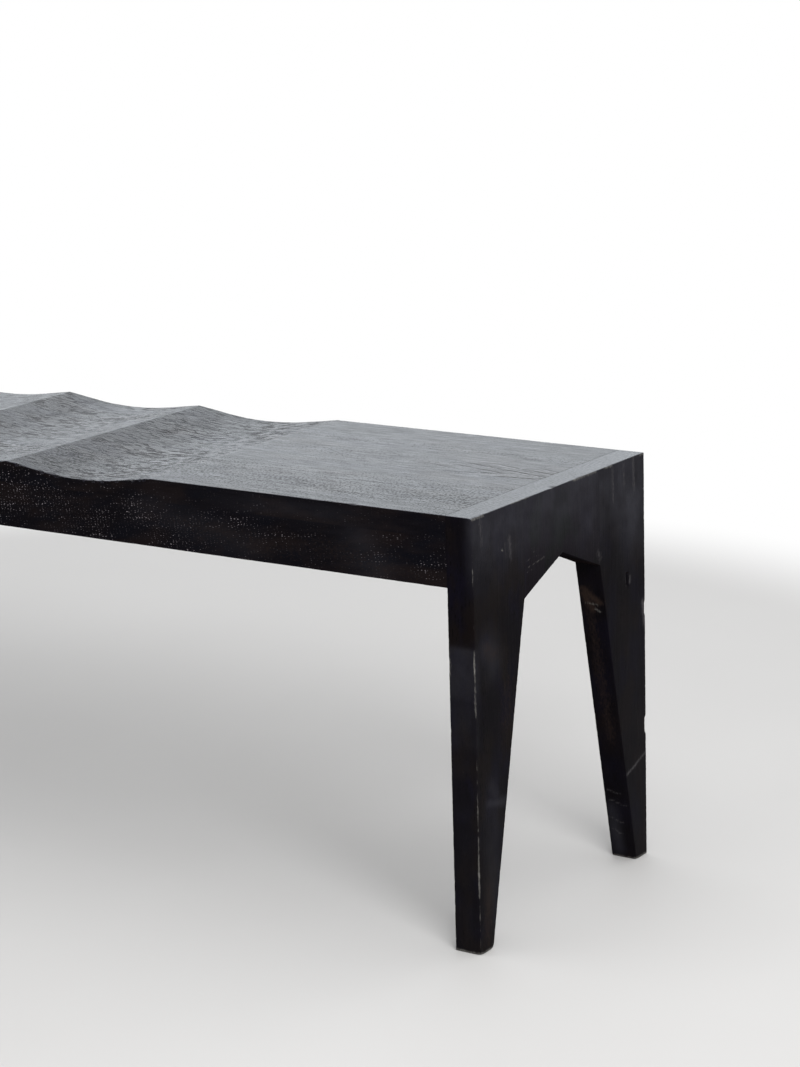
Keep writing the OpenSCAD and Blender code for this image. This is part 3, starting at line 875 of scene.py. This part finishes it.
def black_stained_oak(name, grain="X", shift=(0, 0, 0), tilt=(0, 0), ring_gap=4.2,
                      stains=("#0d0b0f", "#131019", "#1d1210"), patch_size=(120, 38),
                      pore_size=(5, 7), pore_reach=(0.14, 0.22), pore_face=None, pore_order=0.0,
                      pores=1.0, porous=None, arches=None, ripple=0.0, fibre=0.16, dust=0.0,
                      streaks=0.1, rough=0.35, sheen=0.18):
    """Open-pored oak, planed, stained black and thinly oiled: near black, with a satin sheen
    that turns grey at a low angle, broken by the short dark pores of the early wood.

    grain is the axis that the grain follows, shift the place of the tree's middle in mm, tilt
    how the grain runs out in degrees, ring_gap the width of a year's growth in mm. stains are
    the main colour and those of two kinds of patch, patch_size their length and width in mm.
    pore_size is the room that each pore has along and across the grain in mm, pore_reach its
    radius as a share of that room and what early wood adds to it, pore_face the axis across
    the face that the pores open on, pore_order how far they lie in rows, pores how deep they
    are. porous gives a band across the bench: its middle and reach in mm, and how thick the
    pores are in and outside it. arches gives the place of the arches' points along and across
    the bench in mm. ripple is how deep the scoops' relief is in mm, fibre that of the fibres,
    dust how many pores hold pale specks of dust and painted glint, streaks how uneven
    the oil is along the grain, rough its roughness and sheen how strongly it reflects."""
    material, tree, shader, place = new_material(name)
    turn = math.pi / 2 if grain == "Z" else 0.0
    rotation = (0.0, turn + math.radians(tilt[0]), math.radians(tilt[1]))
    where = node(tree, "SeparateXYZ", {"Vector": place})
    mm = node(tree, "Mapping", {
        "Vector": place, "Location": shift, "Rotation": rotation, "Scale": (1000, 1000, 1000)})
    early, late_line = growth_rings(tree, mm, ring_gap)
    patches = stretched_noise(tree, mm, patch_size)
    patch = node(tree, "SeparateColor", {"Color": patches.outputs["Color"]})
    thickness = pore_thickness(tree, where, patch, porous)
    share = node(tree, "Math", {0: early, 1: pore_reach[1], 2: pore_reach[0]},
                 operation="MULTIPLY_ADD")
    share = node(tree, "Math", {0: share, 1: thickness}, operation="MULTIPLY")
    cells, pore = pore_pattern(tree, mm, share, pore_size, pore_face, pore_order)
    fibres = stretched_noise(tree, mm, (30, 3.0), detail=4.0, roughness=0.6)
    hollows = scoop_hollows(tree, mm, where, patch)
    streak = stretched_noise(tree, mm, (45, 5), roughness=0.6)
    streak = node(tree, "MapRange", {"Value": streak, "From": (0.42, 0.72)})
    dry = node(tree, "Math", {0: streak, 1: streaks}, operation="MULTIPLY")

    colour = stain_colour(tree, patch, dry, pore, stains)
    if dust:
        colour = pore_dust_and_glint(tree, cells, pore, dust, colour)
    colour = painted_marks(tree, mm, colour)

    # Height of the surface in mm
    relief = [(fibres, fibre), (late_line, LATE_WOOD_HEIGHT), (pore, -PORE_DEPTH * pores)]
    if arches:
        relief.append((arch_lines(tree, mm, where, arches), -ARCH_DEPTH))
    height = node(tree, "Math", {0: hollows, 1: -ripple}, operation="MULTIPLY")
    for part, depth in relief:
        height = node(tree, "Math", {0: part, 1: depth, 2: height}, operation="MULTIPLY_ADD")
    bump = node(tree, "Bump", {"Height": height, "Distance": MM})

    # Satin: fibres, pores and dry streaks scatter more than the oiled late wood between them
    duller = [(pore, PORE_ROUGHNESS), (dry, DRY_ROUGHNESS)]
    if ripple:
        duller += [(hollows, HOLLOW_ROUGHNESS), (end_joint(tree, where), JOINT_ROUGHNESS)]
    roughness = node(tree, "MapRange", {
        "Value": fibres, "From": (0.3, 0.7),
        "To": (rough - FIBRE_ROUGHNESS, rough + FIBRE_ROUGHNESS)})
    for part, more in duller:
        roughness = node(tree, "Math", {0: part, 1: more, 2: roughness}, operation="MULTIPLY_ADD")

    set_inputs(tree, shader, {
        "Base Color": colour, "Roughness": roughness, "Normal": bump, "IOR": OIL_IOR,
        "Specular IOR Level": sheen})
    return material


def fitting_material(name):
    """Turned beech, pinkish brown with short darker flecks, or dull grey plated steel."""
    fleck_size, colours, relief, roughness, metallic = FITTING_LOOKS[name]
    material, tree, shader, place = new_material(name)
    mm = node(tree, "VectorMath", {0: place, "Scale": 1000}, operation="SCALE")
    flecks = stretched_noise(tree, mm, fleck_size)
    colour = node(tree, "Mix", {"Factor": flecks, "A": colours[0], "B": colours[1]},
                  data_type="RGBA")
    dull = node(tree, "MapRange", {"Value": flecks, "To": roughness})
    bump = node(tree, "Bump", {"Height": flecks, "Distance": relief * MM})
    set_inputs(tree, shader, {
        "Base Color": colour, "Roughness": dull, "Normal": bump, "Metallic": metallic})
    return material


# Parts that keep their CAD shape

def dress_node(name, material, edge=0.0):
    """Gives a CAD node its material, and eases its edges where a maker would."""
    piece = bpy.data.objects[name]
    piece.data.materials.clear()
    piece.data.materials.append(material)
    if edge:
        weld = piece.modifiers.new("weld", "WELD")
        weld.merge_threshold = 0.02 * MM
        bevel = piece.modifiers.new("eased_edges", "BEVEL")
        bevel.width = edge
        bevel.segments = 2
        bevel.limit_method = "ANGLE"
        bevel.angle_limit = math.radians(30)


# Stage, light and camera

CAMERA_PLACE = (2.26560, -2.46914, 1.10226)
CAMERA_YAW = 34.03
CAMERA_PITCH = 13.62
CAMERA_ROLL = 1.62
CAMERA_LENS = 96.79

# The floor, and the distances from the bench over which it fades to white
FLOOR_HALF = 14.0
FLOOR_FADE = (1.25, 1.6)
FLOOR_GREYS = ("#cac9c8", "#d4d3d2")


def make_camera():
    """The camera, at the photograph's place and angle."""
    camera = add_object("camera", bpy.data.cameras.new("camera"))
    turn = Matrix.Identity(4)
    for angle, axis in ((CAMERA_YAW, "Z"), (90 - CAMERA_PITCH, "X"), (-CAMERA_ROLL, "Z")):
        turn @= Matrix.Rotation(math.radians(angle), 4, axis)
    camera.matrix_world = Matrix.Translation(CAMERA_PLACE) @ turn
    camera.data.lens = CAMERA_LENS
    camera.data.sensor_width = 36.0
    camera.data.clip_end = 100.0
    bpy.context.scene.camera = camera


def make_floor():
    """A pale studio floor, which fades to the white backdrop behind the bench."""
    mesh = bpy.data.meshes.new("studio_floor")
    bm = bmesh.new()
    bmesh.ops.create_grid(bm, x_segments=8, y_segments=8, size=FLOOR_HALF)
    bm.to_mesh(mesh)
    bm.free()
    floor = add_object("studio_floor", mesh)

    material, tree, shader, place = new_material("studio_floor_painted")
    distance = node(tree, "VectorMath", {0: place}, operation="LENGTH").outputs["Value"]
    fade = node(tree, "MapRange", {"Value": distance, "From": FLOOR_FADE},
                interpolation_type="SMOOTHSTEP")
    seen = node(tree, "LightPath")
    white_share = node(tree, "Math", {0: fade, 1: seen.outputs["Is Camera Ray"]},
                       operation="MULTIPLY")
    white = node(tree, "Emission", {"Color": "#ffffff"})
    mixed = node(tree, "MixShader", {0: white_share, 1: shader, 2: white})
    set_inputs(tree, tree.nodes["Material Output"], {"Surface": mixed})
    cloud = node(tree, "TexNoise", {"Vector": place, "Scale": 1.6, "Detail": 3.0})
    colour = node(tree, "Mix", {"Factor": cloud, "A": FLOOR_GREYS[0], "B": FLOOR_GREYS[1]},
                  data_type="RGBA")
    set_inputs(tree, shader, {"Base Color": colour, "Roughness": 0.7, "Specular IOR Level": 0.25})
    mesh.materials.append(material)


# World light: on surfaces, and as mirrored from the front and from the horizon
WORLD_FILL = 0.72
WORLD_FRONT = 0.5
WORLD_HORIZON = 0.5


def make_world():
    """White all round for the camera and for reflections, and a soft fill for the rest."""
    world = bpy.data.worlds.new("studio")
    bpy.context.scene.world = world
    world.use_nodes = True
    tree = world.node_tree
    seen = node(tree, "LightPath")
    direct = node(tree, "Math", {
        0: seen.outputs["Is Camera Ray"], 1: seen.outputs["Is Glossy Ray"]}, operation="MAXIMUM")
    direction = node(tree, "SeparateXYZ", {"Vector": node(tree, "TexCoord")})
    backwards = direction.outputs["Y"]
    room = node(tree, "MapRange", {
        "Value": backwards, "From": (-0.4, 0.3), "To": (WORLD_FRONT, 1.0)})
    horizon = node(tree, "MapRange", {
        "Value": direction.outputs["Z"], "From": (0.0, 0.3), "To": (WORLD_HORIZON, 1.0)})
    room = node(tree, "Math", {0: room, 1: horizon}, operation="MULTIPLY")
    reflected = node(tree, "Mix", {"Factor": seen.outputs["Is Glossy Ray"], "A": 1.0, "B": room})
    strength = node(tree, "MapRange", {"Value": direct, "To": (WORLD_FILL, reflected)})
    set_inputs(tree, tree.nodes["Background"], {"Color": "#ffffff", "Strength": strength})


# Soft boxes: place, target, width and height in metres, watts and colour
SOFT_BOXES = {
    "soft_box_overhead": ((0.4, 0.0, 3.0), (0.3, 0.0, 0.2), 3.4, 2.6, 20.0, "#ffffff"),
    "soft_box_right": ((3.0, -2.0, 2.4), (0.4, 0.0, 0.3), 1.8, 1.4, 88.0, "#ffffff"),
    "soft_box_back": ((-2.4, 3.4, 1.5), (0.0, 0.0, 0.45), 5.0, 1.7, 61.0, "#ebf4fc"),
}

# Lamps that show only in the sheen of the top
SHEEN_ONLY = ("soft_box_back",)


def make_lights():
    """Large soft boxes, which give soft contact shadows on the floor."""
    for name, (place, target, width, height, watts, colour) in SOFT_BOXES.items():
        light = bpy.data.lights.new(name, "AREA")
        light.shape = "RECTANGLE"
        light.size = width
        light.size_y = height
        light.energy = watts
        light.color = linear(colour)[:3]
        lamp = add_object(name, light)
        lamp.location = place
        lamp.visible_camera = False
        lamp.visible_diffuse = name not in SHEEN_ONLY
        aim = Vector(target) - Vector(place)
        lamp.rotation_euler = aim.to_track_quat("-Z", "Y").to_euler()


# Looks of each board, where they differ from the usual ones of its oak

# Faces that look down were left dry, and drink the light
DRY_LOOKS = dict(stains=("#0c0a0b", "#110e10", "#171110"), pore_size=(6, 2), rough=0.8, sheen=0.0)

# Edges and faces of the seat and aprons: short pores, many of them pale with dust and painted glints
# off their flanks
SIDE_LOOKS = dict(patch_size=(64, 22), pore_size=(4.2, 1.9), pore_reach=(0.165, 0.075),
                  pore_face="Z", pore_order=0.2, streaks=0.04, rough=0.45, sheen=0.03,
                  ring_gap=9.0, stains=("#0a080c", "#08080e", "#130e0f"))
SEAT_SIDE_LOOKS = dict(shift=(0, 90, 260), tilt=(3, 0), dust=0.3, **SIDE_LOOKS)
APRON_LOOKS = {
    "apron_front": dict(shift=(0, 150, 200), tilt=(5.7, 0), dust=0.46, **SIDE_LOOKS),
    "apron_back": dict(shift=(300, -120, 240), tilt=(-2, 0), dust=0.5, **SIDE_LOOKS),
}

# The top, planed and oiled, with the relief of the scoops
TOP_LOOKS = dict(ripple=0.42, pore_reach=(0.17, 0.06), pore_face="Y", pores=0.3, sheen=0.165,
                 streaks=0.35, stains=("#0d0d12", "#14141f", "#1a1517"))
SEAT_LOOKS = {
    "seat_board_front": dict(shift=(40, 118, -300), tilt=(1.2, -0.6), ring_gap=4.6,
                             porous=(-110, 80, 1.7, 1.25), pore_size=(3.6, 5.0)),
    "seat_board_mid_front": dict(shift=(700, 30, -350), tilt=(-1.6, 0.5), ring_gap=5.0,
                                 porous=(-84, 60, 1.5, 0.85), pore_size=(5.0, 4.2)),
    "seat_board_mid_back": dict(shift=(0, -28, -378), tilt=(3.0, 0.4), ring_gap=7.0,
                                porous=(27, 42, 1.1, 0.75), pore_size=(7, 4),
                                arches=(768, 14)),
    "seat_board_back": dict(shift=(1200, -190, -360), tilt=(-1.0, -1.2), ring_gap=4.0,
                            porous=(90, 40, 1.2, 0.7), sheen=0.152),
}

# The end frames: upright grain, dulled by handling
FRAME_LOOKS = dict(grain="Z", pores=0.2, patch_size=(60, 34), pore_size=(8, 1.6), streaks=0.02,
                   fibre=0.1, rough=0.45, sheen=0.026)
FRAME_BOARD_LOOKS = {
    "leg_front": dict(shift=(0, 160, 900), tilt=(0.8, 0.5), ring_gap=4.0,
                      stains=("#09070b", "#0b0912", "#0f0b0b")),
    "bridge": dict(shift=(500, 20, 860), tilt=(-1.0, 0.6), ring_gap=5.0,
                   stains=("#0c080d", "#0f0c15", "#0b0e0b")),
    "leg_back": dict(shift=(900, -140, 920), tilt=(-0.8, -0.9), ring_gap=4.0,
                     stains=("#080609", "#0a0810", "#0d090b")),
}

# End grain, on top of the end frames: sanded close and oiled, so it is the smoothest surface
END_GRAIN_LOOKS = dict(grain="Z", pores=0.04, pore_size=(2, 2), patch_size=(30, 30), fibre=0.03,
                       streaks=0.0, rough=0.33, sheen=0.124,
                       stains=("#1a1920", "#1c1b25", "#17161c"))


# Build

def build_seat(dry_oak):
    """The four seat boards, each with grain of its own."""
    for name, looks in SEAT_LOOKS.items():
        top_oak = black_stained_oak("oak_black_stained_top_" + name, **{**TOP_LOOKS, **looks})
        side_oak = black_stained_oak("oak_black_stained_side_" + name, **SEAT_SIDE_LOOKS)
        seat_board(name, (side_oak, top_oak, dry_oak))


def build_aprons(dry_oak):
    """The two rails under the edges of the seat."""
    for name, looks in APRON_LOOKS.items():
        side_oak = black_stained_oak("oak_black_stained_" + name, **looks)
        apron(name, (side_oak, side_oak, dry_oak))


def build_end_frames(dry_oak):
    """The three boards of each end frame."""
    end_grain = black_stained_oak("oak_black_stained_end_grain", **END_GRAIN_LOOKS)
    for part, looks in FRAME_BOARD_LOOKS.items():
        make_board = bridge if part == "bridge" else leg
        for side in ("right", "left"):
            name = part + "_" + side
            oak = black_stained_oak("oak_black_stained_" + name, **FRAME_LOOKS, **looks)
            step = NEAR_FRAME_STEPS.get(name, FRAME_STEP)
            make_board(name, (oak, end_grain, dry_oak), step)


def dress_fittings(dry_oak):
    """Rails, corner blocks, dowels and screws, which keep their CAD shape."""
    for rail in ("cross_rail_left", "cross_rail_centre", "cross_rail_right"):
        dress_node(rail, dry_oak, 1.0 * MM)
    for corner in ("front_right", "back_right", "front_left", "back_left"):
        dress_node("corner_block_" + corner, dry_oak, 0.8 * MM)
    beech = fitting_material("beech_turned")
    for row in ("bridge", "seat", "apron"):
        for side in ("right", "left"):
            dress_node(row + "_dowels_" + side, beech)
    steel = fitting_material("zinc_plated_steel_cold_formed")
    for screws in ("rail_screws", "block_screws"):
        dress_node(screws, steel)


make_camera()
make_world()
make_lights()
make_floor()

underside_oak = black_stained_oak("oak_black_stained_dry", **DRY_LOOKS)
build_seat(underside_oak)
build_aprons(underside_oak)
build_end_frames(underside_oak)
dress_fittings(underside_oak)

bpy.context.scene.view_settings.view_transform = "Standard"
